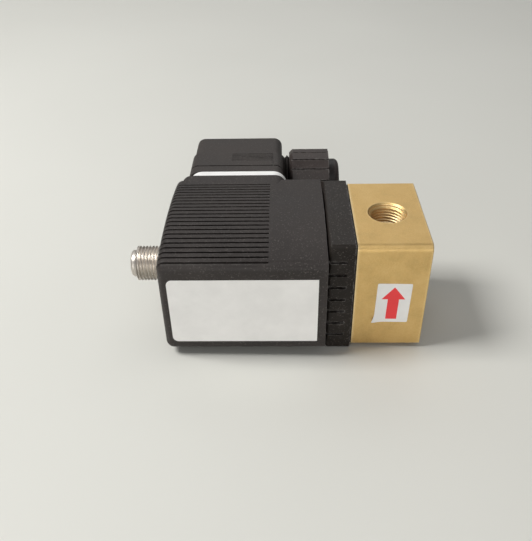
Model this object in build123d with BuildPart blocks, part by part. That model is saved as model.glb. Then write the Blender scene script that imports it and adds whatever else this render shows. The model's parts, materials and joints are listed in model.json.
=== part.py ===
"""3/2-way direct-acting solenoid valve, lying on its side, in millimetres.

The valve axis runs along X: brass body at +X, threaded exhaust stub at -X. The origin
is the centre of the lower port's mouth. The cable plug sits on the coil's +Y side.
"""
from build123d import *
from math import cos, degrees, pi, sin
import os

# ---------------------------------------------------------------- brass body
body_size = 32.0            # square section of the brass body
body_length = 18.7          # along the valve axis
port_from_coil_end = 9.2    # port axis to the body's coil-side face
body_edge_radius = 0.35
body_front_radius = 1.8     # the upper front edge is rounded more than the rest
end_edge_radius = 0.3
port_radius = 4.864         # G1/8 thread, major radius
port_depth = 8.0
port_chamfer = 0.35
feed_radius = 1.25          # drilled channels behind the ports
outlet_channel_x = -3.4
chamber_clearance = 0.8     # round the plunger's collar
chamber_floor_x = -2.5
nozzle_radius = 2.2
nozzle_height = 1.9
orifice_radius = 1.0
oring_mean_radius = 8.75
oring_section_radius = 0.5
oring_groove_depth = 1.1
oring_groove_width = 1.4
mount_hole_spacing = 20.0   # two M4 fixing threads in the end face
mount_hole_radius = 2.0
mount_hole_depth = 6.5

# ---------------------------------------------------------------- flange and screws
flange_overhang = 0.8       # the flange is this much larger than the body on every side
flange_thickness = 7.0
flange_edge_radius = 0.8
flange_end_radius = 0.7
flange_rebate = 0.5         # step that leaves a dark line beside the body
rib_count = 7
rib_pitch = 3.92
rib_slot_width = 0.8
rib_slot_depth = 0.5
rib_slot_length = 4.6
screw_inset = 4.25          # four M3 cap screws, from the body's sides
screw_radius = 1.5
screw_head_radius = 2.75
screw_head_height = 3.0
screw_socket_width = 2.5
screw_socket_depth = 1.5
screw_head_depth = 3.4      # counterbore in the body's end face
screw_grip_in_flange = 5.8

# ---------------------------------------------------------------- armature
tube_radius = 6.0
tube_flange_radius = 10.9
tube_flange_thickness = 1.95
tube_hub_step = 2.0         # the hub stands this much out of the tube
tube_hub_length = 5.0
spring_seat_clearance = 0.4 # round the plunger's collar
spring_seat_depth = 5.3
plunger_radius = 5.0
plunger_collar_step = 1.2
plunger_collar_length = 1.4
plunger_length = 26.6
plunger_stroke = 1.6
plunger_groove_width = 1.4
plunger_groove_depth = 0.8
main_seal_radius = 2.95
main_seal_thickness = 1.95
main_seal_proud = 0.15
exhaust_seal_radius = 2.45
exhaust_seal_thickness = 2.0
spring_wire_radius = 0.35
spring_turns = 4
core_nozzle_height = 0.35
core_nozzle_radius = 1.9
exhaust_bore_radius = 1.25
exhaust_port_radius = 2.1   # M5 thread in the stub's tip
exhaust_port_depth = 7.0
stub_thread_radius = 4.864  # G1/8 outside thread
stub_thread_length = 15.1
stub_relief_radius = 4.0    # thread runout behind the coil nut
stub_relief_width = 0.5
stub_relief_gap = 0.7       # from the coil nut
stub_lead_radius = 3.75
stub_lead_length = 1.8
stub_lead_rounding = 0.8
stub_shoulder_length = 1.5

# ---------------------------------------------------------------- coil
coil_gap = 0.4              # between the flange and the coil
coil_length = 42.5
coil_front_y = -20.6
coil_back_y = 23.7
coil_height = 31.6          # at the crown
coil_edge_height = 27.4     # at the front and back faces
coil_corner_radius = 2.3
coil_end_radius = 2.2
coil_bore_clearance = 0.1
end_wall = 1.6              # between the nut recess and the cavity
flange_wall = 2.0           # between the flange side and the cavity
groove_count = 22
groove_pitch = 1.8
groove_shift = -2.15        # the row of grooves sits nearer the front
groove_width = 0.6
groove_depth = 0.55
groove_length = 27.9
cavity_front_y = -14.2
cavity_height = 27.0
nut_recess_clearance = 1.0  # round the washer
nut_recess_depth = 6.0
nut_width = 14.0
nut_thickness = 4.0
washer_radius = 8.0
washer_thickness = 1.0
yoke_thickness = 2.5
yoke_height = 26.0
yoke_front_y = -13.8
bobbin_flange_radius = 13.2
bobbin_flange_thickness = 1.2
bobbin_wall = 1.1
winding_radius = 12.6

# ---------------------------------------------------------------- connector and plug
connector_x = -41.1         # centre of the connector along the coil
boss_width = 30.8
boss_shift = -1.1           # the boss reaches further to the coil's far end
boss_height = 29.2
boss_corner_radius = 3.0
boss_depth = 0.3            # above the coil's back face
boss_root = 7.0             # where its top runs out of the crowned top
gasket_width = 29.4
gasket_height = 29.2
gasket_corner_radius = 4.2
gasket_thickness = 2.4
blade_offset = 9.0          # contact blades from the centre screw
blade_width = 6.3
blade_thickness = 0.8
blade_reach = 10.5          # above the boss
blade_root = 4.0            # inside the housing
insert_radius = 2.5
insert_length = 6.0
plug_width = 27.8
plug_height = 28.0
plug_depth = 25.3
plug_shift = -0.6           # the plug's shell sits a little to the left of its screw
plug_corner_radius = 2.6
plug_far_radius = 1.4
plug_step = 0.4             # the half next to the gasket stands out this much
plug_middle_depth = 13.0    # depth of that wider half
plug_skirt_depth = 4.0      # depth of the skirt, next to the gasket
seam_width = 0.5
seam_depth = 0.4
plug_wall = 2.4
plug_roof = 3.4
panel_width = 12.7
panel_length = 5.4
panel_depth = 0.25
panel_rib_count = 6
panel_rib_width = 0.6
panel_right_margin = 2.9
panel_border = 0.4          # groove along the panel's right side
block_clearance = 0.2       # round the terminal block
block_depth = 14.0
terminal_width = 7.2
terminal_thickness = 2.4
terminal_height = 8.0
terminal_screw_radius = 0.9
terminal_screw_length = 4.0
terminal_head_radius = 1.9
terminal_head_height = 1.4
terminal_slot_width = 0.6
plug_screw_radius = 1.45
plug_screw_head_radius = 3.0
plug_screw_head_height = 2.4
plug_screw_slot_width = 0.9
plug_screw_slot_depth = 1.1
screw_well_radius = 3.6
screw_well_depth = 1.2
screw_seal_thickness = 0.8

# ---------------------------------------------------------------- cable gland
gland_from_gasket = 17.6    # gland axis above the gasket
neck_radius = 9.9           # M20 x 1.5
neck_length = 11.0
neck_wall = 1.9
neck_bore_reach = 3.0       # from the plug's side into its cavity
neck_hub_step = 0.9         # hub that carries the neck past the plug's far face
neck_hub_length = 5.0
neck_thread_pitch = 1.5
neck_thread_depth = 0.8
neck_groove_width = 1.35
neck_first_groove = 0.9     # from the plug's side
gland_nut_gap = 2.4         # from the plug's side to the nut
gland_nut_wall = 2.1        # round the neck, at the corners
gland_nut_length = 12.5
gland_facets = 20
gland_slot_width = 0.4
gland_slot_depth = 0.45
gland_nut_chamfer = 1.0
gland_collar_radius = 8.7
gland_collar_length = 3.5
gland_collar_rounding = 1.6
cable_hole_radius = 4.4
grommet_bore_radius = 3.6
grommet_length = 6.0
gland_washer_thickness = 0.8

# ---------------------------------------------------------------- labels
label_thickness = 0.15
rating_label_width = 38.0
rating_label_height = 20.1
rating_label_left = 2.3     # from the coil's left end
rating_label_drop = 10.7    # from the axis to its lower edge
rating_label_radius = 1.5
arrow_label_width = 8.9
arrow_label_height = 12.7
arrow_label_x = 0.9
arrow_label_drop = 1.8      # from the axis to its middle
arrow_thickness = 0.06
arrow_width = 6.1
arrow_head_height = 3.9
arrow_shaft_width = 2.9
arrow_height = 10.5

# ---------------------------------------------------------------- clearances
fit_clearance = 0.05        # pressed, seated and touching pieces that must not overlap
running_clearance = 0.08    # pieces that turn on one another
loose_clearance = 0.3       # curved faces of separate bodies that only pass each other
thread_clearance = 0.05

# ---------------------------------------------------------------- positions
axis_z = body_size / 2
flange_size = body_size + 2 * flange_overhang
screw_spacing = body_size - 2 * screw_inset
plunger_collar_radius = plunger_radius + plunger_collar_step
chamber_radius = plunger_collar_radius + chamber_clearance
spring_seat_radius = plunger_collar_radius + spring_seat_clearance
spring_mean_radius = (plunger_radius + spring_seat_radius) / 2
tube_bore_radius = plunger_radius + fit_clearance
tube_hub_radius = tube_radius + tube_hub_step
coil_bore_radius = tube_radius + coil_bore_clearance
bobbin_tube_radius = tube_radius + loose_clearance + bobbin_wall
nut_recess_radius = washer_radius + nut_recess_clearance
neck_bore_radius = neck_radius - neck_wall
gland_nut_radius = neck_radius + gland_nut_wall
body_back_x = -port_from_coil_end
body_front_x = body_back_x + body_length
flange_back_x = body_back_x - flange_thickness
coil_right_x = flange_back_x - coil_gap
coil_left_x = coil_right_x - coil_length
recess_floor_x = coil_left_x + nut_recess_depth
cavity_left_x = recess_floor_x + end_wall
cavity_right_x = coil_right_x - flange_wall
nozzle_x = chamber_floor_x - nozzle_height
tube_seat_x = body_back_x + tube_flange_thickness + fit_clearance
plunger_front_x = nozzle_x - fit_clearance - main_seal_proud
plunger_rear_x = plunger_front_x - plunger_length
plunger_collar_x = plunger_front_x - plunger_collar_length
core_nozzle_x = plunger_rear_x - plunger_stroke - fit_clearance
core_face_x = core_nozzle_x - core_nozzle_height
tube_end_x = cavity_left_x
stub_shoulder_x = tube_end_x - stub_shoulder_length
stub_thread_end_x = stub_shoulder_x - stub_thread_length
stub_tip_x = stub_thread_end_x - stub_lead_length
boss_face_y = coil_back_y + boss_depth
gasket_face_y = boss_face_y + gasket_thickness
plug_far_y = gasket_face_y + plug_depth
gland_y = gasket_face_y + gland_from_gasket
plug_x = connector_x + plug_shift
plug_right_x = plug_x + plug_width / 2
gland_nut_x = plug_right_x + gland_nut_gap
gland_collar_x = gland_nut_x + gland_nut_length
gland_end_x = gland_collar_x + gland_collar_length
neck_end_x = plug_right_x + neck_length
washer_face_x = recess_floor_x - fit_clearance
nut_face_x = washer_face_x - washer_thickness - fit_clearance
stub_relief_x = nut_face_x - nut_thickness - stub_relief_gap

# blades 1 and 2 beside the screw, and the earth blade below it: offset and turn
blade_places = [(-blade_offset, 0, 90), (blade_offset, 0, 90), (0, -blade_offset, 0)]


def across_x(x, y=0.0):
    """Plane square to the valve axis at x: its own x is +Y and its own y is +Z."""
    return Plane(origin=(x, y, axis_z), x_dir=(0, 1, 0), z_dir=(1, 0, 0))


def across_y(y, x=connector_x):
    """Plane square to Y at y, facing the plug: its own x is -X and its own y is +Z."""
    return Plane(origin=(x, y, axis_z), x_dir=(-1, 0, 0), z_dir=(0, 1, 0))


def x_round(x_from, x_to, radius, mode=Mode.ADD, y=0.0):
    """Adds or cuts a cylinder along X in the open part."""
    with BuildSketch(across_x(x_from, y)) as disc:
        Circle(radius)
    extrude(disc.sketch, amount=x_to - x_from, mode=mode)


def y_round(y_from, y_to, radius, mode=Mode.ADD, x=connector_x):
    """Adds or cuts a cylinder along Y in the open part."""
    with BuildSketch(across_y(y_from, x)) as disc:
        Circle(radius)
    extrude(disc.sketch, amount=y_to - y_from, mode=mode)


def blade_slots(y_from, y_to, clearance):
    """Cuts the three flat slots that the contact blades pass through."""
    for across, up, turn in blade_places:
        with BuildSketch(across_y(y_from)) as slot:
            with Locations((across, up)):
                Rectangle(blade_width + 2 * clearance, blade_thickness + 2 * clearance, rotation=turn)
        extrude(slot.sketch, amount=y_to - y_from, mode=Mode.SUBTRACT)


os.makedirs("parts", exist_ok=True)

# ================================================================ brass body
port_planes = {
    "inlet": Plane(origin=(0, 0, 0), x_dir=(1, 0, 0), z_dir=(0, 0, -1)),
    "outlet": Plane(origin=(0, 0, body_size), x_dir=(1, 0, 0), z_dir=(0, 0, 1)),
}

with BuildPart() as valve_body:
    with BuildSketch(across_x(body_back_x)):
        Rectangle(body_size, body_size)
    extrude(amount=body_length)
    long_edges = valve_body.edges().filter_by(Axis.X)
    upper_front = long_edges.group_by(Axis.Z)[-1].sort_by(Axis.Y)[0]
    fillet(upper_front, body_front_radius)
    fillet([edge for edge in long_edges if edge is not upper_front], body_edge_radius)
    fillet(valve_body.faces().sort_by(Axis.X)[-1].edges(), end_edge_radius)
    # threaded ports, one above the other
    for mouth in port_planes.values():
        with BuildSketch(mouth):
            Circle(port_radius)
        extrude(amount=-port_depth, mode=Mode.SUBTRACT)
        with BuildSketch(mouth):
            Circle(port_radius + port_chamfer)
        extrude(amount=-port_chamfer, taper=45, mode=Mode.SUBTRACT)
    # plunger chamber with its seat for the guide tube and the groove for the seal ring
    x_round(body_back_x, chamber_floor_x, chamber_radius, Mode.SUBTRACT)
    x_round(body_back_x, tube_seat_x, tube_flange_radius + fit_clearance, Mode.SUBTRACT)
    with BuildSketch(across_x(tube_seat_x)):
        Circle(oring_mean_radius + oring_groove_width / 2)
        Circle(oring_mean_radius - oring_groove_width / 2, mode=Mode.SUBTRACT)
    extrude(amount=oring_groove_depth, mode=Mode.SUBTRACT)
    # valve seat and the channels: inlet to the seat, chamber to the outlet
    x_round(chamber_floor_x, nozzle_x, nozzle_radius)
    x_round(nozzle_x, feed_radius, orifice_radius, Mode.SUBTRACT)
    with BuildSketch(Plane.XY.offset(port_depth)):
        Circle(feed_radius)
    extrude(amount=axis_z - port_depth + orifice_radius, mode=Mode.SUBTRACT)
    with BuildSketch(Plane.XY.offset(body_size - port_depth)):
        with Locations((outlet_channel_x, 0)):
            Circle(feed_radius)
    extrude(amount=-port_depth / 2, mode=Mode.SUBTRACT)
    # end face: two fixing threads and four counterbored screw holes
    with BuildSketch(across_x(body_front_x)):
        with GridLocations(mount_hole_spacing, 0, 2, 1):
            Circle(mount_hole_radius)
    extrude(amount=-mount_hole_depth, mode=Mode.SUBTRACT)
    with BuildSketch(across_x(body_front_x)):
        with GridLocations(screw_spacing, screw_spacing, 2, 2):
            Circle(screw_head_radius + loose_clearance)
    extrude(amount=-screw_head_depth, mode=Mode.SUBTRACT)
    with BuildSketch(across_x(body_front_x)):
        with GridLocations(screw_spacing, screw_spacing, 2, 2):
            Circle(screw_radius + fit_clearance)
    extrude(amount=-body_length, mode=Mode.SUBTRACT)
valve_body.part.label = "valve_body"
export_step(valve_body.part, "parts/valve_body.step")

with BuildPart() as body_oring:
    with BuildSketch(Plane.XY.offset(axis_z)):
        with Locations((tube_seat_x + oring_section_radius + fit_clearance / 2, oring_mean_radius)):
            Circle(oring_section_radius)
    revolve(axis=Axis((0, 0, axis_z), (1, 0, 0)))
body_oring.part.label = "body_oring"
export_step(body_oring.part, "parts/body_oring.step")

# ================================================================ flange and its screws
with BuildPart() as clamp_flange:
    with BuildSketch(across_x(flange_back_x)):
        RectangleRounded(flange_size, flange_size, flange_edge_radius)
    extrude(amount=flange_thickness)
    fillet(clamp_flange.faces().sort_by(Axis.X)[0].edges(), flange_end_radius)
    # rebate round the edge that meets the body
    with BuildSketch(across_x(body_back_x)):
        Rectangle(flange_size, flange_size)
        Rectangle(body_size - flange_rebate, body_size - flange_rebate, mode=Mode.SUBTRACT)
    extrude(amount=-flange_rebate, mode=Mode.SUBTRACT)
    # guide tube's hub and the tube pass through
    hub_end_x = body_back_x - tube_hub_length
    x_round(body_back_x, hub_end_x - fit_clearance, tube_hub_radius + fit_clearance, Mode.SUBTRACT)
    x_round(body_back_x, flange_back_x, tube_radius + fit_clearance, Mode.SUBTRACT)
    with BuildSketch(across_x(body_back_x)):
        with GridLocations(screw_spacing, screw_spacing, 2, 2):
            Circle(screw_radius + fit_clearance)
    extrude(amount=-(screw_grip_in_flange + loose_clearance), mode=Mode.SUBTRACT)
    # rows of slots in the two side faces
    for side in (-1, 1):
        with BuildSketch(Plane.XZ.offset(-side * flange_size / 2)):
            with Locations((flange_back_x + rib_slot_length / 2, axis_z)):
                with GridLocations(0, rib_pitch, 1, rib_count):
                    Rectangle(rib_slot_length, rib_slot_width)
        extrude(amount=side * rib_slot_depth, mode=Mode.SUBTRACT)
clamp_flange.part.label = "clamp_flange"
export_step(clamp_flange.part, "parts/clamp_flange.step")

screw_seat_x = body_front_x - screw_head_depth
with BuildPart() as flange_screws:
    with BuildSketch(across_x(screw_seat_x)):
        with GridLocations(screw_spacing, screw_spacing, 2, 2):
            Circle(screw_head_radius)
    extrude(amount=screw_head_height)
    with BuildSketch(across_x(screw_seat_x)):
        with GridLocations(screw_spacing, screw_spacing, 2, 2):
            Circle(screw_radius)
    extrude(amount=body_back_x - screw_grip_in_flange - screw_seat_x)
    with BuildSketch(across_x(screw_seat_x + screw_head_height)):
        with GridLocations(screw_spacing, screw_spacing, 2, 2):
            RegularPolygon(screw_socket_width / 2, 6, major_radius=False)
    extrude(amount=-screw_socket_depth, mode=Mode.SUBTRACT)
flange_screws.part.label = "flange_screws"
export_step(flange_screws.part, "parts/flange_screws.step")

# ================================================================ guide tube, core and plunger
with BuildPart() as guide_tube:
    x_round(tube_seat_x - fit_clearance, body_back_x, tube_flange_radius)
    x_round(body_back_x, body_back_x - tube_hub_length, tube_hub_radius)
    x_round(body_back_x, tube_end_x, tube_radius)
    x_round(tube_seat_x, tube_end_x, tube_bore_radius, Mode.SUBTRACT)
    x_round(tube_seat_x, tube_seat_x - spring_seat_depth, spring_seat_radius, Mode.SUBTRACT)
guide_tube.part.label = "guide_tube"
export_step(guide_tube.part, "parts/guide_tube.step")

with BuildPart() as core_stopper:
    x_round(core_face_x, tube_end_x, tube_bore_radius - fit_clearance / 2)
    x_round(core_face_x, core_nozzle_x, core_nozzle_radius)
    x_round(tube_end_x, stub_shoulder_x, tube_radius)
    x_round(stub_shoulder_x, stub_relief_x + stub_relief_width, stub_thread_radius)
    x_round(stub_relief_x + stub_relief_width, stub_relief_x, stub_relief_radius)
    x_round(stub_relief_x, stub_thread_end_x, stub_thread_radius)
    x_round(stub_thread_end_x, stub_tip_x, stub_lead_radius)
    tip_edges = core_stopper.faces().sort_by(Axis.X)[0].edges()
    fillet(tip_edges, stub_lead_rounding)
    x_round(core_nozzle_x, stub_tip_x, exhaust_bore_radius, Mode.SUBTRACT)
    x_round(stub_tip_x, stub_tip_x + exhaust_port_depth, exhaust_port_radius, Mode.SUBTRACT)
core_stopper.part.label = "core_stopper"
export_step(core_stopper.part, "parts/core_stopper.step")

seal_pocket_x = plunger_front_x - main_seal_thickness + main_seal_proud - fit_clearance / 2
with BuildPart() as plunger:
    x_round(plunger_rear_x, plunger_front_x, plunger_radius)
    x_round(plunger_collar_x, plunger_front_x, plunger_collar_radius)
    x_round(plunger_front_x, seal_pocket_x, main_seal_radius + fit_clearance, Mode.SUBTRACT)
    x_round(plunger_rear_x, plunger_rear_x + exhaust_seal_thickness,
            exhaust_seal_radius + fit_clearance, Mode.SUBTRACT)
    # three flow grooves along the sides
    with BuildSketch(across_x(plunger_rear_x)):
        with PolarLocations(plunger_radius, 3, start_angle=30):
            Rectangle(2 * plunger_groove_depth, plunger_groove_width)
    extrude(amount=plunger_length, mode=Mode.SUBTRACT)
plunger.part.label = "plunger"
export_step(plunger.part, "parts/plunger.step")

with BuildPart() as main_seal:
    x_round(plunger_front_x + main_seal_proud, plunger_front_x + main_seal_proud - main_seal_thickness,
            main_seal_radius)
main_seal.part.label = "main_seal"
export_step(main_seal.part, "parts/main_seal.step")

with BuildPart() as exhaust_seal:
    x_round(plunger_rear_x, plunger_rear_x + exhaust_seal_thickness - fit_clearance / 2,
            exhaust_seal_radius)
exhaust_seal.part.label = "exhaust_seal"
export_step(exhaust_seal.part, "parts/exhaust_seal.step")

spring_left_x = tube_seat_x - spring_seat_depth + spring_wire_radius + fit_clearance / 2
spring_right_x = plunger_collar_x - spring_wire_radius - fit_clearance / 2
spring_height = spring_right_x - spring_left_x
with BuildPart() as return_spring:
    with BuildLine():
        coil_line = Helix(
            pitch=spring_height / spring_turns,
            height=spring_height,
            radius=spring_mean_radius,
            center=(spring_left_x, 0, axis_z),
            direction=(1, 0, 0),
        )
    with BuildSketch(Plane(origin=coil_line @ 0, z_dir=coil_line % 0)):
        Circle(spring_wire_radius)
    sweep(is_frenet=True)
return_spring.part.label = "return_spring"
export_step(return_spring.part, "parts/return_spring.step")

# ================================================================ coil housing
coil_middle_y = (coil_front_y + coil_back_y) / 2
coil_half_width = (coil_back_y - coil_front_y) / 2
crown_rise = (coil_height - coil_edge_height) / 2
crown_radius = (coil_half_width**2 + crown_rise**2) / (2 * crown_rise)
crown_centre = coil_height / 2 - crown_radius

with BuildPart() as coil_housing:
    with BuildSketch(across_x(coil_left_x, coil_middle_y)) as coil_section:
        with BuildLine():
            corner = (coil_half_width, coil_edge_height / 2)
            ThreePointArc((-corner[0], corner[1]), (0, coil_height / 2), corner)
            Line(corner, (corner[0], -corner[1]))
            ThreePointArc((corner[0], -corner[1]), (0, -coil_height / 2), (-corner[0], -corner[1]))
            Line((-corner[0], -corner[1]), (-corner[0], corner[1]))
        make_face()
        fillet(coil_section.vertices(), coil_corner_radius)
    extrude(amount=coil_length)
    fillet(coil_housing.faces().sort_by(Axis.X)[0].edges(), coil_end_radius)
    # connector boss on the back
    with BuildSketch(across_y(coil_back_y - boss_root, connector_x + boss_shift)):
        RectangleRounded(boss_width, boss_height, boss_corner_radius)
    extrude(amount=boss_depth + boss_root)
    # cooling grooves along the crowned top and bottom
    groove_step = degrees(groove_pitch / crown_radius)
    groove_offset = degrees(groove_shift / crown_radius)
    for crown_side in (1, -1):
        with BuildSketch(across_x(coil_left_x, coil_middle_y)):
            for k in range(groove_count):
                angle = (k - (groove_count - 1) / 2) * groove_step + groove_offset
                lean = angle * pi / 180
                across = crown_radius * sin(lean)
                up = crown_centre + crown_radius * cos(lean)
                with Locations((across, crown_side * up)):
                    Rectangle(groove_width, 2 * groove_depth, rotation=-crown_side * angle)
        extrude(amount=groove_length, mode=Mode.SUBTRACT)
    # cavity for the winding and its yoke, bore for the guide tube, recess for the nut
    cavity_back_y = -yoke_front_y + yoke_thickness + 2 * fit_clearance
    with BuildSketch(across_x(cavity_left_x, (cavity_front_y + cavity_back_y) / 2)):
        Rectangle(cavity_back_y - cavity_front_y, cavity_height)
    extrude(amount=cavity_right_x - cavity_left_x, mode=Mode.SUBTRACT)
    x_round(coil_left_x, coil_right_x, coil_bore_radius, Mode.SUBTRACT)
    x_round(coil_left_x, recess_floor_x, nut_recess_radius, Mode.SUBTRACT)
    # slots for the contact blades and the threaded insert
    blade_slots(boss_face_y - blade_root - fit_clearance, boss_face_y, fit_clearance)
    y_round(boss_face_y, boss_face_y - insert_length - fit_clearance, insert_radius + fit_clearance,
            Mode.SUBTRACT)
coil_housing.part.label = "coil_housing"
export_step(coil_housing.part, "parts/coil_housing.step")

# ================================================================ inside the coil
yoke_left_x = cavity_left_x + fit_clearance
yoke_right_x = cavity_right_x - fit_clearance
yoke_back_y = -yoke_front_y
with BuildPart() as yoke_frame:
    with BuildSketch(Plane.XY.offset(axis_z - yoke_height / 2)):
        with BuildLine():
            Polyline(
                (yoke_left_x, yoke_front_y),
                (yoke_left_x, yoke_back_y + yoke_thickness),
                (yoke_right_x, yoke_back_y + yoke_thickness),
                (yoke_right_x, yoke_front_y),
                (yoke_right_x - yoke_thickness, yoke_front_y),
                (yoke_right_x - yoke_thickness, yoke_back_y),
                (yoke_left_x + yoke_thickness, yoke_back_y),
                (yoke_left_x + yoke_thickness, yoke_front_y),
                close=True,
            )
        make_face()
    extrude(amount=yoke_height)
    x_round(yoke_left_x, yoke_right_x, tube_radius + loose_clearance, Mode.SUBTRACT)
yoke_frame.part.label = "yoke_frame"
export_step(yoke_frame.part, "parts/yoke_frame.step")

bobbin_left_x = yoke_left_x + yoke_thickness + fit_clearance
bobbin_right_x = yoke_right_x - yoke_thickness - fit_clearance
with BuildPart() as bobbin:
    x_round(bobbin_left_x, bobbin_right_x, bobbin_tube_radius)
    x_round(bobbin_left_x, bobbin_left_x + bobbin_flange_thickness, bobbin_flange_radius)
    x_round(bobbin_right_x, bobbin_right_x - bobbin_flange_thickness, bobbin_flange_radius)
    x_round(bobbin_left_x, bobbin_right_x, tube_radius + loose_clearance, Mode.SUBTRACT)
bobbin.part.label = "bobbin"
export_step(bobbin.part, "parts/bobbin.step")

winding_left_x = bobbin_left_x + bobbin_flange_thickness + fit_clearance
winding_right_x = bobbin_right_x - bobbin_flange_thickness - fit_clearance
with BuildPart() as winding:
    x_round(winding_left_x, winding_right_x, winding_radius)
    x_round(winding_left_x, winding_right_x, bobbin_tube_radius + fit_clearance, Mode.SUBTRACT)
winding.part.label = "winding"
export_step(winding.part, "parts/winding.step")

with BuildPart() as contact_blades:
    for across, up, turn in blade_places:
        with BuildSketch(across_y(boss_face_y - blade_root)):
            with Locations((across, up)):
                Rectangle(blade_width, blade_thickness, rotation=turn)
        extrude(amount=blade_root + blade_reach)
contact_blades.part.label = "contact_blades"
export_step(contact_blades.part, "parts/contact_blades.step")

with BuildPart() as boss_insert:
    y_round(boss_face_y - insert_length, boss_face_y, insert_radius)
    y_round(boss_face_y - insert_length, boss_face_y, plug_screw_radius + thread_clearance, Mode.SUBTRACT)
boss_insert.part.label = "boss_insert"
export_step(boss_insert.part, "parts/boss_insert.step")

# ================================================================ coil nut and washer
with BuildPart() as coil_washer:
    x_round(washer_face_x, washer_face_x - washer_thickness, washer_radius)
    x_round(washer_face_x, washer_face_x - washer_thickness, stub_thread_radius + fit_clearance,
            Mode.SUBTRACT)
coil_washer.part.label = "coil_washer"
export_step(coil_washer.part, "parts/coil_washer.step")

with BuildPart() as coil_nut:
    with BuildSketch(across_x(nut_face_x)):
        RegularPolygon(nut_width / 2, 6, major_radius=False)
    extrude(amount=-nut_thickness)
    x_round(nut_face_x, nut_face_x - nut_thickness, stub_thread_radius + running_clearance, Mode.SUBTRACT)
coil_nut.part.label = "coil_nut"
export_step(coil_nut.part, "parts/coil_nut.step")

# ================================================================ gasket and plug
with BuildPart() as gasket:
    with BuildSketch(across_y(boss_face_y)):
        RectangleRounded(gasket_width, gasket_height, gasket_corner_radius)
    extrude(amount=gasket_thickness)
    blade_slots(boss_face_y, gasket_face_y, loose_clearance)
    y_round(boss_face_y, gasket_face_y, plug_screw_radius + loose_clearance, Mode.SUBTRACT)
gasket.part.label = "gasket"
export_step(gasket.part, "parts/gasket.step")

plug_cavity_y = plug_far_y - plug_roof
block_face_y = gasket_face_y + block_depth
with BuildPart() as plug_housing:
    with BuildSketch(across_y(gasket_face_y, plug_x)):
        RectangleRounded(plug_width, plug_height, plug_corner_radius)
    extrude(amount=plug_depth)
    fillet(plug_housing.faces().sort_by(Axis.Y)[-1].edges(), plug_far_radius)
    # the half next to the gasket is a little wider, with a seam above its skirt
    tier_width = plug_width + 2 * plug_step
    tier_height = plug_height + 2 * plug_step
    with BuildSketch(across_y(gasket_face_y, plug_x)):
        RectangleRounded(tier_width, tier_height, plug_corner_radius)
    extrude(amount=plug_middle_depth)
    with BuildSketch(across_y(gasket_face_y + plug_skirt_depth, plug_x)):
        Rectangle(tier_width + seam_width, tier_height + seam_width)
        RectangleRounded(plug_width - 2 * seam_depth, plug_height - 2 * seam_depth, plug_corner_radius,
                         mode=Mode.SUBTRACT)
    extrude(amount=seam_width, mode=Mode.SUBTRACT)
    # ribbed panel on the upper side
    panel_x = plug_right_x - panel_right_margin - panel_width / 2
    panel_y = gasket_face_y + plug_middle_depth - panel_length / 2
    panel_z = axis_z + plug_height / 2 + plug_step
    with BuildSketch(Plane.XY.offset(panel_z)):
        with Locations((panel_x, panel_y)):
            Rectangle(panel_width, panel_length)
            with GridLocations(0, panel_length / panel_rib_count, 1, panel_rib_count):
                Rectangle(panel_width, panel_rib_width, mode=Mode.SUBTRACT)
    extrude(amount=-panel_depth, mode=Mode.SUBTRACT)
    border_length = plug_middle_depth - plug_skirt_depth
    with BuildSketch(Plane.XY.offset(panel_z)):
        with Locations((panel_x + panel_width / 2, gasket_face_y + plug_skirt_depth)):
            Rectangle(panel_border, border_length, align=(Align.MIN, Align.MIN))
    extrude(amount=-panel_depth, mode=Mode.SUBTRACT)
    # threaded neck of the cable gland
    x_round(plug_right_x - neck_hub_length, plug_right_x, neck_radius + neck_hub_step, y=gland_y)
    x_round(plug_right_x - plug_wall, neck_end_x, neck_radius, y=gland_y)
    thread_turns = int((neck_end_x - plug_right_x) / neck_thread_pitch)
    with BuildSketch(Plane.XY.offset(axis_z)):
        for k in range(thread_turns):
            thread_x = plug_right_x + neck_first_groove + k * neck_thread_pitch
            with BuildLine():
                Polyline(
                    (thread_x - neck_groove_width / 2, gland_y + neck_radius),
                    (thread_x, gland_y + neck_radius - neck_thread_depth),
                    (thread_x + neck_groove_width / 2, gland_y + neck_radius),
                    close=True,
                )
            make_face()
    revolve(axis=Axis((0, gland_y, axis_z), (1, 0, 0)), mode=Mode.SUBTRACT)
    # inside: square cavity for the terminal block, and the way out through the neck
    with BuildSketch(across_y(gasket_face_y, plug_x)):
        RectangleRounded(plug_width - 2 * plug_wall, plug_height - 2 * plug_wall, plug_corner_radius / 2)
    extrude(amount=plug_cavity_y - gasket_face_y, mode=Mode.SUBTRACT)
    x_round(plug_right_x - neck_bore_reach, neck_end_x, neck_bore_radius, Mode.SUBTRACT, y=gland_y)
    y_round(plug_cavity_y, plug_far_y, plug_screw_radius + running_clearance, Mode.SUBTRACT)
    y_round(plug_far_y - screw_well_depth, plug_far_y, screw_well_radius, Mode.SUBTRACT)
plug_housing.part.label = "plug_housing"
export_step(plug_housing.part, "parts/plug_housing.step")

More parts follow.
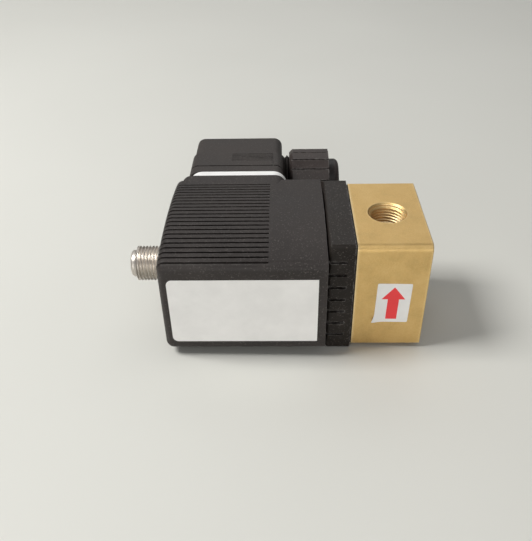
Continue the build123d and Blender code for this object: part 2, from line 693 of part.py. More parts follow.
terminal_floor_y = block_face_y - terminal_height
terminal_offset = blade_offset - (blade_thickness + terminal_thickness) / 2 - fit_clearance
pocket_thickness = terminal_thickness + blade_thickness + 4 * fit_clearance
pocket_offset = terminal_offset + (blade_thickness + fit_clearance) / 2
with BuildPart() as terminal_block:
    block_margin = 2 * (plug_wall + block_clearance)
    with BuildSketch(across_y(gasket_face_y + fit_clearance, plug_x)):
        RectangleRounded(plug_width - block_margin, plug_height - block_margin, plug_corner_radius / 2)
    extrude(amount=block_depth - fit_clearance)
    y_round(gasket_face_y, block_face_y, plug_screw_radius + loose_clearance, Mode.SUBTRACT)
    blade_slots(gasket_face_y, block_face_y - terminal_height, loose_clearance)
    for across, up, turn in blade_places:
        pocket_place = (across * pocket_offset / blade_offset, up * pocket_offset / blade_offset)
        with BuildSketch(across_y(block_face_y)):
            with Locations(pocket_place):
                Rectangle(terminal_width + 2 * fit_clearance, pocket_thickness, rotation=turn)
        extrude(amount=-terminal_height, mode=Mode.SUBTRACT)
terminal_block.part.label = "terminal_block"
export_step(terminal_block.part, "parts/terminal_block.step")

terminal_places = []
for across, up, turn in blade_places:
    share = terminal_offset / blade_offset
    terminal_places.append((across * share, up * share))

with BuildPart() as terminal_contacts:
    for place, blade in zip(terminal_places, blade_places):
        with BuildSketch(across_y(terminal_floor_y + fit_clearance)):
            with Locations(place):
                Rectangle(terminal_width, terminal_thickness, rotation=blade[2])
        extrude(amount=terminal_height - fit_clearance)
    with BuildSketch(across_y(block_face_y)):
        with Locations(*terminal_places):
            Circle(terminal_screw_radius + thread_clearance)
    extrude(amount=-(terminal_screw_length + loose_clearance), mode=Mode.SUBTRACT)
terminal_contacts.part.label = "terminal_contacts"
export_step(terminal_contacts.part, "parts/terminal_contacts.step")

with BuildPart() as terminal_screws:
    with BuildSketch(across_y(block_face_y + fit_clearance)):
        with Locations(*terminal_places):
            Circle(terminal_head_radius)
    extrude(amount=terminal_head_height)
    with BuildSketch(across_y(block_face_y + fit_clearance)):
        with Locations(*terminal_places):
            Circle(terminal_screw_radius)
    extrude(amount=-terminal_screw_length)
    with BuildSketch(across_y(block_face_y + fit_clearance + terminal_head_height)):
        with Locations(*terminal_places):
            Rectangle(2 * terminal_head_radius, terminal_slot_width)
    extrude(amount=-terminal_head_height / 2, mode=Mode.SUBTRACT)
terminal_screws.part.label = "terminal_screws"
export_step(terminal_screws.part, "parts/terminal_screws.step")

well_floor_y = plug_far_y - screw_well_depth
with BuildPart() as screw_seal:
    y_round(well_floor_y + fit_clearance, well_floor_y + screw_seal_thickness, plug_screw_head_radius)
    y_round(well_floor_y, well_floor_y + screw_seal_thickness, plug_screw_radius + running_clearance,
            Mode.SUBTRACT)
screw_seal.part.label = "screw_seal"
export_step(screw_seal.part, "parts/screw_seal.step")

head_floor_y = well_floor_y + screw_seal_thickness + fit_clearance
head_top_y = head_floor_y + plug_screw_head_height
with BuildPart() as plug_screw:
    y_round(head_floor_y, head_top_y, plug_screw_head_radius)
    y_round(head_floor_y, boss_face_y - insert_length + loose_clearance, plug_screw_radius)
    with BuildSketch(across_y(head_top_y)):
        Rectangle(2 * plug_screw_head_radius, plug_screw_slot_width)
    extrude(amount=-plug_screw_slot_depth, mode=Mode.SUBTRACT)
plug_screw.part.label = "plug_screw"
export_step(plug_screw.part, "parts/plug_screw.step")

# ================================================================ cable gland
gland_washer_end_x = neck_end_x + fit_clearance + gland_washer_thickness
nut_cavity_end_x = gland_washer_end_x + fit_clearance
with BuildPart() as gland_nut:
    with BuildSketch(across_x(gland_nut_x, gland_y)):
        RegularPolygon(gland_nut_radius, gland_facets)
    extrude(amount=gland_nut_length)
    chamfer(gland_nut.faces().sort_by(Axis.X)[0].edges(), gland_nut_chamfer)
    with BuildSketch(across_x(gland_nut_x, gland_y)):
        with PolarLocations(gland_nut_radius, gland_facets):
            Rectangle(2 * gland_slot_depth, gland_slot_width)
    extrude(amount=gland_nut_length, mode=Mode.SUBTRACT)
    x_round(gland_collar_x, gland_end_x, gland_collar_radius, y=gland_y)
    fillet(gland_nut.faces().sort_by(Axis.X)[-1].edges(), gland_collar_rounding)
    x_round(gland_nut_x, gland_end_x, cable_hole_radius, Mode.SUBTRACT, y=gland_y)
    x_round(gland_nut_x, nut_cavity_end_x, neck_radius + running_clearance, Mode.SUBTRACT, y=gland_y)
gland_nut.part.label = "gland_nut"
export_step(gland_nut.part, "parts/gland_nut.step")

with BuildPart() as gland_grommet:
    x_round(neck_end_x - grommet_length, neck_end_x, neck_bore_radius - fit_clearance, y=gland_y)
    x_round(neck_end_x - grommet_length, neck_end_x, grommet_bore_radius, Mode.SUBTRACT, y=gland_y)
gland_grommet.part.label = "gland_grommet"
export_step(gland_grommet.part, "parts/gland_grommet.step")

with BuildPart() as gland_washer:
    x_round(neck_end_x + fit_clearance, gland_washer_end_x, neck_bore_radius + loose_clearance, y=gland_y)
    x_round(neck_end_x, gland_washer_end_x, cable_hole_radius, Mode.SUBTRACT, y=gland_y)
gland_washer.part.label = "gland_washer"
export_step(gland_washer.part, "parts/gland_washer.step")

# ================================================================ labels
rating_left_x = coil_left_x + rating_label_left
with BuildPart() as rating_label:
    with BuildSketch(Plane.XZ.offset(-coil_front_y)) as rating_outline:
        with Locations((rating_left_x, axis_z - rating_label_drop)):
            Rectangle(rating_label_width, rating_label_height, align=Align.MIN)
        left_corners = rating_outline.vertices().group_by(Axis.X)[0]
        fillet(left_corners, rating_label_radius)
    extrude(amount=label_thickness)
rating_label.part.label = "rating_label"
export_step(rating_label.part, "parts/rating_label.step")

body_front_y = -body_size / 2
arrow_label_z = axis_z - arrow_label_drop
with BuildPart() as arrow_label:
    with BuildSketch(Plane.XZ.offset(-body_front_y)):
        with Locations((arrow_label_x, arrow_label_z)):
            RectangleRounded(arrow_label_width, arrow_label_height, 2 * arrow_thickness)
    extrude(amount=label_thickness)
arrow_label.part.label = "arrow_label"
export_step(arrow_label.part, "parts/arrow_label.step")

arrow_bottom_z = arrow_label_z - arrow_height / 2
arrow_top_z = arrow_bottom_z + arrow_height
arrow_head_z = arrow_top_z - arrow_head_height
with BuildPart() as flow_arrow:
    with BuildSketch(Plane.XZ.offset(label_thickness - body_front_y)):
        with BuildLine():
            Polyline(
                (arrow_label_x - arrow_shaft_width / 2, arrow_bottom_z),
                (arrow_label_x + arrow_shaft_width / 2, arrow_bottom_z),
                (arrow_label_x + arrow_shaft_width / 2, arrow_head_z),
                (arrow_label_x + arrow_width / 2, arrow_head_z),
                (arrow_label_x, arrow_top_z),
                (arrow_label_x - arrow_width / 2, arrow_head_z),
                (arrow_label_x - arrow_shaft_width / 2, arrow_head_z),
                close=True,
            )
        make_face()
    extrude(amount=arrow_thickness)
flow_arrow.part.label = "flow_arrow"
export_step(flow_arrow.part, "parts/flow_arrow.step")
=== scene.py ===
"""Looks of the solenoid valve: materials, threads, printed labels, floor, light and camera."""
import json
import math

import bpy
from mathutils import Matrix, Vector


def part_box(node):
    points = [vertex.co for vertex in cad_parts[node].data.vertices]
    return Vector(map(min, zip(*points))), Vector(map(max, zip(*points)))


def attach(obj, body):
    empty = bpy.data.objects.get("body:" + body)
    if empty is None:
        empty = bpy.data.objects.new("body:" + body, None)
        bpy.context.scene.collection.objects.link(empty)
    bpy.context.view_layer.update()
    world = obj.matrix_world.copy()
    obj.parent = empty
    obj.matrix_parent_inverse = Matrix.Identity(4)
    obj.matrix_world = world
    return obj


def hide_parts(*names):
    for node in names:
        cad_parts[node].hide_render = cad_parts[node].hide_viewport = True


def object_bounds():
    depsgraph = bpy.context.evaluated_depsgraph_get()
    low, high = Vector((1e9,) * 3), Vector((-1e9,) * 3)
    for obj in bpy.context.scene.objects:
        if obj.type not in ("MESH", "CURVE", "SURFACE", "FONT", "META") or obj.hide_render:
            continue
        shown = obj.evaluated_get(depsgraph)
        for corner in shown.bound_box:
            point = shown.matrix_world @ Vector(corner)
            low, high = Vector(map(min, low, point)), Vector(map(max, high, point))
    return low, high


MM = 0.001
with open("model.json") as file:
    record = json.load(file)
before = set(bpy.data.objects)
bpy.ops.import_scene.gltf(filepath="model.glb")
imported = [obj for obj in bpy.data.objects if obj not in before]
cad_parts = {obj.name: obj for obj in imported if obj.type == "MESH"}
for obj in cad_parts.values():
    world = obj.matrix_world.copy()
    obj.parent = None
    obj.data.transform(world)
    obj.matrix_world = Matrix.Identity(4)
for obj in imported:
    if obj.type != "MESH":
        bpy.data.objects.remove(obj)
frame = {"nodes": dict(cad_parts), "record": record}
cad_low, cad_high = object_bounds()
nodes = frame["nodes"]
record = frame["record"]
scene = bpy.context.scene
mounts = {mount["name"]: mount for mount in record["mounts"]}


# ---------------------------------------------------------------- node helpers
def new_material(name):
    """A material with an empty tree: returns it and a function that adds linked nodes."""
    material = bpy.data.materials.new(name)
    material.use_nodes = True
    tree = material.node_tree
    tree.nodes.clear()

    def add(kind, inputs=None, **settings):
        node = tree.nodes.new(kind)
        for key, value in settings.items():
            setattr(node, key, value)
        for key, value in (inputs or {}).items():
            if isinstance(value, bpy.types.NodeSocket):
                tree.links.new(value, node.inputs[key])
            else:
                node.inputs[key].default_value = value
        return node

    return material, add


def surface_material(name, build):
    """Runs build(add) for a shader and links it to the output."""
    material, add = new_material(name)
    shader = build(add)
    add("ShaderNodeOutputMaterial", {"Surface": shader.outputs[0]})
    return material


def noise(add, scale, detail=4.0, rough=0.55, stretch=(1, 1, 1)):
    """Noise in object space, scale in features per metre."""
    place = add("ShaderNodeTexCoord")
    mapping = add("ShaderNodeMapping", {"Vector": place.outputs["Object"], "Scale": stretch})
    return add("ShaderNodeTexNoise", {
        "Vector": mapping.outputs[0], "Scale": scale, "Detail": detail, "Roughness": rough,
    }).outputs[0]


def ramp(add, factor, stops):
    """Colour ramp through (position, colour) stops."""
    node = add("ShaderNodeValToRGB", {"Fac": factor})
    elements = node.color_ramp.elements
    while len(elements) < len(stops):
        elements.new(0.5)
    for element, (position, colour) in zip(elements, stops):
        element.position = position
        element.color = (*colour, 1)
    return node.outputs[0]


def remap(add, value, low, high, to_low, to_high):
    node = add("ShaderNodeMapRange", {
        "Value": value, "From Min": low, "From Max": high, "To Min": to_low, "To Max": to_high,
    })
    return node.outputs[0]


def mix_colour(add, factor, first, second, blend="MIX"):
    node = add("ShaderNodeMix", data_type="RGBA", blend_type=blend)
    links = node.id_data.links
    for socket, value in ((0, factor), (6, first), (7, second)):
        if isinstance(value, bpy.types.NodeSocket):
            links.new(value, node.inputs[socket])
        else:
            node.inputs[socket].default_value = value
    return node.outputs[2]


def bump(add, height, strength, distance, normal=None):
    inputs = {"Height": height, "Strength": strength, "Distance": distance}
    if normal is not None:
        inputs["Normal"] = normal
    return add("ShaderNodeBump", inputs).outputs[0]


def convex_edge_mask(add, width, low=0.02, high=0.25):
    """1 on convex edges, 0 elsewhere: how far a bevelled normal leans from the real one. The materials
    paint these edges paler: partly wear, partly a painted highlight.
    """
    bevelled = add("ShaderNodeBevel", {"Radius": width}, samples=8)
    plain = add("ShaderNodeNewGeometry")
    lean = add("ShaderNodeVectorMath", {0: bevelled.outputs[0], 1: plain.outputs["Normal"]},
               operation="DOT_PRODUCT")
    return remap(add, lean.outputs["Value"], 1 - low, 1 - high, 0, 1)


def arithmetic(add, operation, first, second=0.0, third=0.0):
    return add("ShaderNodeMath", {0: first, 1: second, 2: third}, operation=operation).outputs[0]


def distance_from(add, value, middle):
    return arithmetic(add, "ABSOLUTE", arithmetic(add, "SUBTRACT", value, middle))


def product(add, *factors):
    result = factors[0]
    for factor in factors[1:]:
        result = arithmetic(add, "MULTIPLY", result, factor)
    return result


# ---------------------------------------------------------------- materials
def wrapped_groove_shade(add, pitch=1.8 * MM, count=22, shift=-2.15 * MM, width=0.6 * MM,
                    half_width=22.15 * MM, crown=117.9 * MM, end_radius=2.2 * MM, down=3.4 * MM):
    """1 along the coil's cooling groove lines where they would run on over its rounded far end, which the
    mesh doesn't carve:
    the mask paints their shade. The lines are spaced by pitch round the crown's arc, and the row is off
    the coil's middle by shift."""
    low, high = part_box("coil_housing")
    origin = nodes["coil_housing"].matrix_world.translation
    middle = Vector((low.x, low.y + half_width, (low.z + high.z) / 2)) - origin
    half_height = (high.z - low.z) / 2
    place = add("ShaderNodeSeparateXYZ", {0: add("ShaderNodeTexCoord").outputs["Object"]}).outputs
    sine = arithmetic(add, "DIVIDE", arithmetic(add, "SUBTRACT", place["Y"], middle.y), crown)
    lean = arithmetic(add, "ARCSINE", sine)
    # groove 0 is the first one, and whole numbers are the grooves' middles
    number = arithmetic(add, "MULTIPLY_ADD", lean, crown / pitch, (count - 1) / 2 - shift / pitch)
    aside = distance_from(add, number, arithmetic(add, "ROUND", number))
    line = remap(add, aside, 0.62 * width / pitch, 0.36 * width / pitch, 0, 1)
    after_first = remap(add, number, -0.6, -0.4, 0, 1)
    before_last = remap(add, number, count - 0.6, count - 0.4, 1, 0)
    near_end = remap(add, place["X"], middle.x + 0.75 * end_radius, middle.x + 0.4 * end_radius, 0, 1)
    height = distance_from(add, place["Z"], middle.z)
    near_crown = remap(add, height, half_height - down, half_height - 0.7 * down, 0, 1)
    return product(add, line, after_first, before_last, near_end, near_crown)


def moulded_plastic(name, colour, dusty, roughness=0.5, grain=1.0, wear_and_highlight=0.25, specular=0.3,
                    grooves=None):
    """Dark moulded plastic: fine spark-eroded grain, faint dust and paler edges, partly wear and partly a
    painted highlight.
    grooves(add) gives a mask of groove lines that the mesh doesn't carve, painted near black as their
    shade, with no shine."""
    def build(add):
        cloud = noise(add, 90, 5, 0.6)
        base = ramp(add, cloud, [(0.35, colour), (0.75, dusty)])
        speck = noise(add, 2300, 3, 0.6)
        base = mix_colour(add, remap(add, speck, 0.58, 0.72, 0, 0.6), base, (0.15, 0.132, 0.122, 1))
        # paler convex edges: partly scuffed wear, partly a painted edge highlight
        worn_and_highlit = convex_edge_mask(add, 0.5 * MM)
        scuff = noise(add, 700, 3, 0.6)
        scuffed_and_highlit = product(add, worn_and_highlit, remap(add, scuff, 0.42, 0.62, 0, wear_and_highlight))
        base = mix_colour(add, scuffed_and_highlit, base, (0.22, 0.21, 0.20, 1))
        fine = noise(add, 4200, 2, 0.5)
        wide = noise(add, 260, 3, 0.5)
        normal = bump(add, fine, 0.22 * grain, 0.06 * MM)
        normal = bump(add, wide, 0.10, 0.10 * MM, normal)
        shine = specular
        if grooves is not None:
            groove_shade = grooves(add)
            # painted shade: near-black lines stand in for the shaded grooves over the rounded end
            base = mix_colour(add, product(add, groove_shade, 0.85), base, (0.004, 0.0035, 0.003, 1))
            shine = remap(add, groove_shade, 0, 1, specular, 0.05)
        return add("ShaderNodeBsdfPrincipled", {
            "Base Color": base, "Normal": normal,
            "Roughness": remap(add, cloud, 0.3, 0.7, roughness - 0.06, roughness + 0.08),
            "Specular IOR Level": shine,
        })
    return surface_material(name, build)


def satin_brass(name):
    """Tumbled brass: fine grain, faint tarnish and bright edges, partly rubbed and partly a painted
    highlight.
    """
    def build(add):
        cloud = noise(add, 130, 6, 0.62)
        fine = noise(add, 2600, 3, 0.65)
        base = ramp(add, cloud, [(0.28, (0.60, 0.395, 0.15)), (0.52, (0.71, 0.48, 0.19)),
                                 (0.78, (0.78, 0.56, 0.25))])
        base = mix_colour(add, remap(add, fine, 0.35, 0.7, 0, 0.3), base, (0.84, 0.64, 0.32, 1))
        # bright convex edges: partly rubbed brass, partly a painted edge highlight
        worn_and_highlit = convex_edge_mask(add, 1.4 * MM)
        base = mix_colour(add, worn_and_highlit, base, (1.0, 0.80, 0.46, 1))
        normal = bump(add, fine, 1.0, 0.09 * MM)
        return add("ShaderNodeBsdfPrincipled", {
            "Base Color": base, "Metallic": 1.0, "Normal": normal,
            "Roughness": remap(add, cloud, 0.3, 0.7, 0.38, 0.5),
        })
    return surface_material(name, build)


def turned_metal(name, colour, roughness=0.3, ring_scale=5200, along=(1, 0.02, 0.02)):
    """Machined metal with faint tool marks across one axis."""
    def build(add):
        rings = noise(add, ring_scale, 3, 0.6, along)
        cloud = noise(add, 200, 4, 0.6)
        darker = tuple(0.72 * c for c in colour)
        base = ramp(add, cloud, [(0.3, darker), (0.7, colour)])
        normal = bump(add, rings, 0.25, 0.03 * MM)
        return add("ShaderNodeBsdfPrincipled", {
            "Base Color": base, "Metallic": 1.0, "Normal": normal,
            "Roughness": remap(add, rings, 0.3, 0.7, roughness - 0.05, roughness + 0.1),
        })
    return surface_material(name, build)


def printed_film(name, colour, roughness=0.38):
    """Smooth label film with faint mottling and a slightly uneven surface."""
    def build(add):
        cloud = noise(add, 160, 4, 0.6)
        shade = tuple(0.93 * c for c in colour)
        base = ramp(add, cloud, [(0.35, shade), (0.7, colour)])
        speck = noise(add, 3000, 2, 0.5)
        base = mix_colour(add, remap(add, speck, 0.68, 0.8, 0, 0.12), base, (0.5, 0.5, 0.48, 1))
        normal = bump(add, noise(add, 220, 2, 0.4), 0.12, 0.08 * MM)
        return add("ShaderNodeBsdfPrincipled", {
            "Base Color": base, "Normal": normal,
            "Roughness": remap(add, cloud, 0.3, 0.7, roughness - 0.05, roughness + 0.07),
        })
    return surface_material(name, build)


def soft_rubber(name, colour, light, roughness=0.7):
    """Matt elastomer with a powdery bloom."""
    def build(add):
        cloud = noise(add, 240, 4, 0.6)
        base = ramp(add, cloud, [(0.35, colour), (0.72, light)])
        normal = bump(add, noise(add, 3000, 2, 0.5), 0.3, 0.05 * MM)
        return add("ShaderNodeBsdfPrincipled", {
            "Base Color": base, "Normal": normal, "Roughness": roughness,
        })
    return surface_material(name, build)


def copper_turns(name, wave_scale=1697.65):
    """Enamelled wire wound side by side: ridges across the valve axis."""
    def build(add):
        place = add("ShaderNodeTexCoord")
        wave = add("ShaderNodeTexWave", {
            "Vector": place.outputs["Object"], "Scale": wave_scale,
            "Distortion": 0.4, "Detail": 1.0,
        }, bands_direction="X")
        # darker in the wave's hollows between the turns: painted shade
        base = ramp(add, wave.outputs[0], [(0.1, (0.22, 0.07, 0.03)), (0.8, (0.70, 0.30, 0.13))])
        normal = bump(add, wave.outputs[0], 0.8, 0.1 * MM)
        return add("ShaderNodeBsdfPrincipled", {
            "Base Color": base, "Metallic": 0.9, "Roughness": 0.28, "Normal": normal,
            "Coat Weight": 0.5,
        })
    return surface_material(name, build)


materials = {
    "brass": satin_brass("satin_brass"),
    "coil_plastic": moulded_plastic("coil_plastic", (0.025, 0.0205, 0.0190), (0.041, 0.0345, 0.0320),
                                    grooves=wrapped_groove_shade),
    # the full edge setting (1.0) paints the flange's edge highlight as paler edges
    "flange_plastic": moulded_plastic("flange_plastic", (0.015, 0.0120, 0.0100),
                                      (0.025, 0.0205, 0.0175), 0.36, 1.0, 1.0, 0.16),
    "plug_plastic": moulded_plastic("plug_plastic", (0.030, 0.0250, 0.0225),
                                    (0.049, 0.0415, 0.0380), 0.52),
    "gland_plastic": moulded_plastic("gland_plastic", (0.030, 0.0225, 0.0205),
                                     (0.054, 0.0430, 0.0400), 0.42, 1.0, 1.0),
    "block_plastic": moulded_plastic("block_plastic", (0.03, 0.03, 0.032), (0.05, 0.05, 0.052), 0.5),
    "bobbin_plastic": moulded_plastic("bobbin_plastic", (0.66, 0.62, 0.50), (0.76, 0.73, 0.62), 0.45),
    "stainless": turned_metal("stainless", (0.74, 0.69, 0.63), 0.36),
    "spring_steel": turned_metal("spring_steel", (0.55, 0.55, 0.56), 0.28),
    "plated_steel": turned_metal("plated_steel", (0.62, 0.62, 0.60), 0.34, 2500, (1, 1, 0.3)),
    "screw_steel": turned_metal("screw_steel", (0.58, 0.58, 0.60), 0.30, 2500, (1, 0.3, 1)),
    "copper_wire": copper_turns("copper_wire"),
    "contact_metal": turned_metal("contact_metal", (0.74, 0.72, 0.66), 0.22, 2500, (0.3, 1, 1)),
    "label_white": printed_film("label_white", (0.92, 0.91, 0.89)),
    "arrow_red": printed_film("arrow_red", (0.92, 0.045, 0.05)),
    "gasket_white": soft_rubber("gasket_white", (0.86, 0.86, 0.85), (0.94, 0.94, 0.93), 0.6),
    "seal_rubber": soft_rubber("seal_rubber", (0.018, 0.018, 0.018), (0.035, 0.034, 0.033)),
}


def give(obj, slot_name):
    """One material on an object, tied to the record's slot of that name."""
    obj.data.materials.clear()
    obj.data.materials.append(materials[slot_name])


for subpart in record["subparts"]:
    give(nodes[subpart["node"]], subpart["material_slot"])


# ---------------------------------------------------------------- threads
def mesh_object(name, vertices, faces, smooth=True):
    mesh = bpy.data.meshes.new(name)
    mesh.from_pydata([tuple(v) for v in vertices], [], faces)
    mesh.validate()
    if smooth:
        mesh.polygons.foreach_set("use_smooth", [True] * len(mesh.polygons))
    mesh.update()
    obj = bpy.data.objects.new(name, mesh)
    scene.collection.objects.link(obj)
    return obj


def lathe_grid(name, origin, axis, stations, sides):
    """A closed surface round an axis. stations are (distance along the axis, radius function of
    the angle); the first and last one join, so the list runs all the way round the section."""
    turn = Vector((0, 0, 1)).rotation_difference(Vector(axis)).to_matrix()
    vertices = []
    for along, radius in stations:
        for k in range(sides):
            angle = 2 * math.pi * k / sides
            r = radius(angle)
            point = Vector((r * math.cos(angle), r * math.sin(angle), along))
            vertices.append(Vector(origin) + turn @ point)
    faces = []
    count = len(stations)
    for i in range(count):
        for k in range(sides):
            a, b = i * sides, ((i + 1) % count) * sides
            faces.append((a + k, a + (k + 1) % sides, b + (k + 1) % sides, b + k))
    return mesh_object(name, vertices, faces)


def thread_height(phase):
    """0 at the root, 1 at the crest of a slightly flattened V thread, over one turn of phase."""
    t = abs((phase % 1.0) * 2 - 1)
    return min(1.0, max(0.0, (t - 0.12) / 0.76))


def fade(along, length, lead):
    """1 inside the thread, falling to 0 over lead at both ends."""
    return max(0.0, min(1.0, along / lead, (length - along) / lead))


def threaded_stations(start, length, major, depth, pitch, steps):
    """Stations of a screw thread: a helix whose height fades out at both ends."""
    rows = max(2, int(length / pitch * steps))
    stations = []
    for i in range(rows + 1):
        along = length * i / rows
        drop = depth * fade(along, length, 0.8 * pitch)

        def radius(angle, along=along, drop=drop):
            return major - drop * thread_height(along / pitch - angle / (2 * math.pi))
        stations.append((start + along, radius))
    return stations


def ring(along, radius):
    return along, lambda angle: radius


def rounded(along, radius, inner, reach, steps=5):
    """Stations of a quarter round that turns from a cylinder into an end face."""
    stations = []
    for i in range(steps + 1):
        turn = math.pi / 2 * i / steps
        stations.append(ring(along + reach * math.sin(turn), radius - inner * (1 - math.cos(turn))))
    return stations


def inner_thread(name, mouth, outward, major, length, pitch, depth, sides=72, steps=12):
    """A threaded sleeve that lines a hole in the brass body, drilled at the thread's major radius."""
    stations = threaded_stations(0.0, length, major - FILM, depth, pitch, steps)
    stations += [ring(length, major - FILM / 2), ring(0.0, major - FILM / 2)]
    sleeve = lathe_grid(name, mouth, -Vector(outward), stations, sides)
    give(sleeve, "brass")
    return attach(sleeve, "valve")


FILM = 0.02 * MM            # keeps a lining off the wall behind it
G_PITCH = 25.4 / 28 * MM    # G1/8
G_DEPTH = 0.581 * MM
M4_PITCH = 0.7 * MM
M4_DEPTH = 0.43 * MM
M5_PITCH = 0.8 * MM
M5_DEPTH = 0.4 * MM
PORT_CHAMFER = 0.36 * MM

for thread_name, mount_name in (("inlet_thread", "port_in"), ("outlet_thread", "port_out")):
    mount = mounts[mount_name]
    outward = Vector(mount["axis"])
    inner_thread(thread_name, Vector(mount["pos_m"]) - outward * PORT_CHAMFER, outward,
                 mount["dims"]["r_mm"] * MM, mount["dims"]["length_mm"] * MM - 2 * PORT_CHAMFER,
                 G_PITCH, G_DEPTH)

# two M4 fixing threads in the end face
pattern = mounts["fixing_holes"]
hole_radius = pattern["dims"]["hole_r_mm"] * MM
hole_spacing = pattern["dims"]["spacing_x_mm"] * MM
hole_depth = 6.3 * MM
mouth_inset = 0.05 * MM
for side, thread_name in ((-1, "fixing_thread_front"), (1, "fixing_thread_back")):
    mouth = Vector(pattern["pos_m"]) + Vector((-mouth_inset, side * hole_spacing / 2, 0))
    inner_thread(thread_name, mouth, (1, 0, 0), hole_radius, hole_depth, M4_PITCH, M4_DEPTH, 48, 8)

# ---------------------------------------------------------------- core and threaded stub
AXIS = Vector((-1, 0, 0))
axis_z = mounts["exhaust_port"]["pos_m"][2]
core_low, core_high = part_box("core_stopper")
stub = mounts["exhaust_stub"]
stub_radius = stub["dims"]["r_mm"] * MM
thread_end = -stub["pos_m"][0] + stub["dims"]["length_mm"] / 2 * MM
relief_end = -stub["pos_m"][0] - stub["dims"]["length_mm"] / 2 * MM
port_radius = mounts["exhaust_port"]["dims"]["r_mm"] * MM
port_depth = mounts["exhaust_port"]["dims"]["length_mm"] * MM


def build_core(nozzle=1.9 * MM, nozzle_height=0.35 * MM, core=5.02 * MM, shoulder=6.0 * MM,
               shoulder_length=1.5 * MM, tube_end=51.5 * MM, relief=4.0 * MM, relief_width=0.5 * MM,
               lead=3.75 * MM, rounding=0.8 * MM, bore=1.25 * MM, chamfer=0.35 * MM, soft=0.15 * MM):
    """The fixed core with its stub in one turned piece. Stations run down the outside to the tip
    and back through the exhaust bore."""
    tip = -core_low.x
    start = -core_high.x
    inner_thread_start = tube_end + shoulder_length
    relief_start = relief_end - relief_width
    stations = [ring(start, nozzle), ring(start + nozzle_height, nozzle),
                ring(start + nozzle_height, core), ring(tube_end, core), ring(tube_end, shoulder),
                ring(inner_thread_start - soft, shoulder), ring(inner_thread_start, shoulder - soft)]
    stations += threaded_stations(inner_thread_start, relief_start - inner_thread_start,
                                  stub_radius, G_DEPTH, G_PITCH, 14)
    stations += [ring(relief_start, relief), ring(relief_end, relief)]
    stations += threaded_stations(relief_end, thread_end - relief_end,
                                  stub_radius, G_DEPTH, G_PITCH, 14)
    stations += [ring(thread_end + soft, stub_radius - G_DEPTH - soft),
                 ring(thread_end + 2 * soft, lead)]
    stations += rounded(tip - rounding, lead, rounding, rounding, 7)
    stations += [ring(tip, port_radius + chamfer), ring(tip - chamfer, port_radius)]
    port_thread = threaded_stations(0.0, port_depth - 2 * chamfer, port_radius + M5_DEPTH / 2, M5_DEPTH,
                                    M5_PITCH, 10)
    stations += [(tip - chamfer - along, radius) for along, radius in port_thread]
    stations += [ring(tip - port_depth, port_radius), ring(tip - port_depth, bore), ring(start, bore)]
    piece = lathe_grid("core_and_stub", (0, 0, axis_z), AXIS, stations, 96)
    give(piece, "stainless")
    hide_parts("core_stopper")
    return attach(piece, "valve")


build_core()


# ---------------------------------------------------------------- coil nut and washer
def build_coil_nut(chamfer=0.75 * MM, slope=0.6, thread_gap=0.06 * MM, bore_chamfer=0.3 * MM, steps=4):
    """Hexagon nut: a six-sided prism cut by a cone at both ends, threaded inside."""
    low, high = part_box("coil_nut")
    across_flats = high.z - low.z
    corner = across_flats / 2 / math.cos(math.pi / 6)
    height = high.x - low.x
    start = -high.x

    def hexagon(angle):
        wedge = (angle + math.pi / 6) % (math.pi / 3) - math.pi / 6
        return across_flats / 2 / math.cos(wedge)

    def cut(reach):
        return lambda angle: min(hexagon(angle), corner - chamfer + reach)

    stations = []
    for i in range(steps + 1):
        rise = chamfer * i / steps
        stations.append((start + rise * slope, cut(rise)))
    for i in range(steps, -1, -1):
        rise = chamfer * i / steps
        stations.append((start + height - rise * slope, cut(rise)))
    bore = stub_radius + thread_gap
    stations += [ring(start + height, bore + bore_chamfer), ring(start + height - bore_chamfer, bore)]
    stations += [ring(start + bore_chamfer, bore), ring(start, bore + bore_chamfer)]
    piece = lathe_grid("hex_coil_nut", (0, 0, axis_z), AXIS, stations, 144)
    give(piece, "plated_steel")
    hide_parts("coil_nut")
    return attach(piece, "coil_nut")


build_coil_nut()


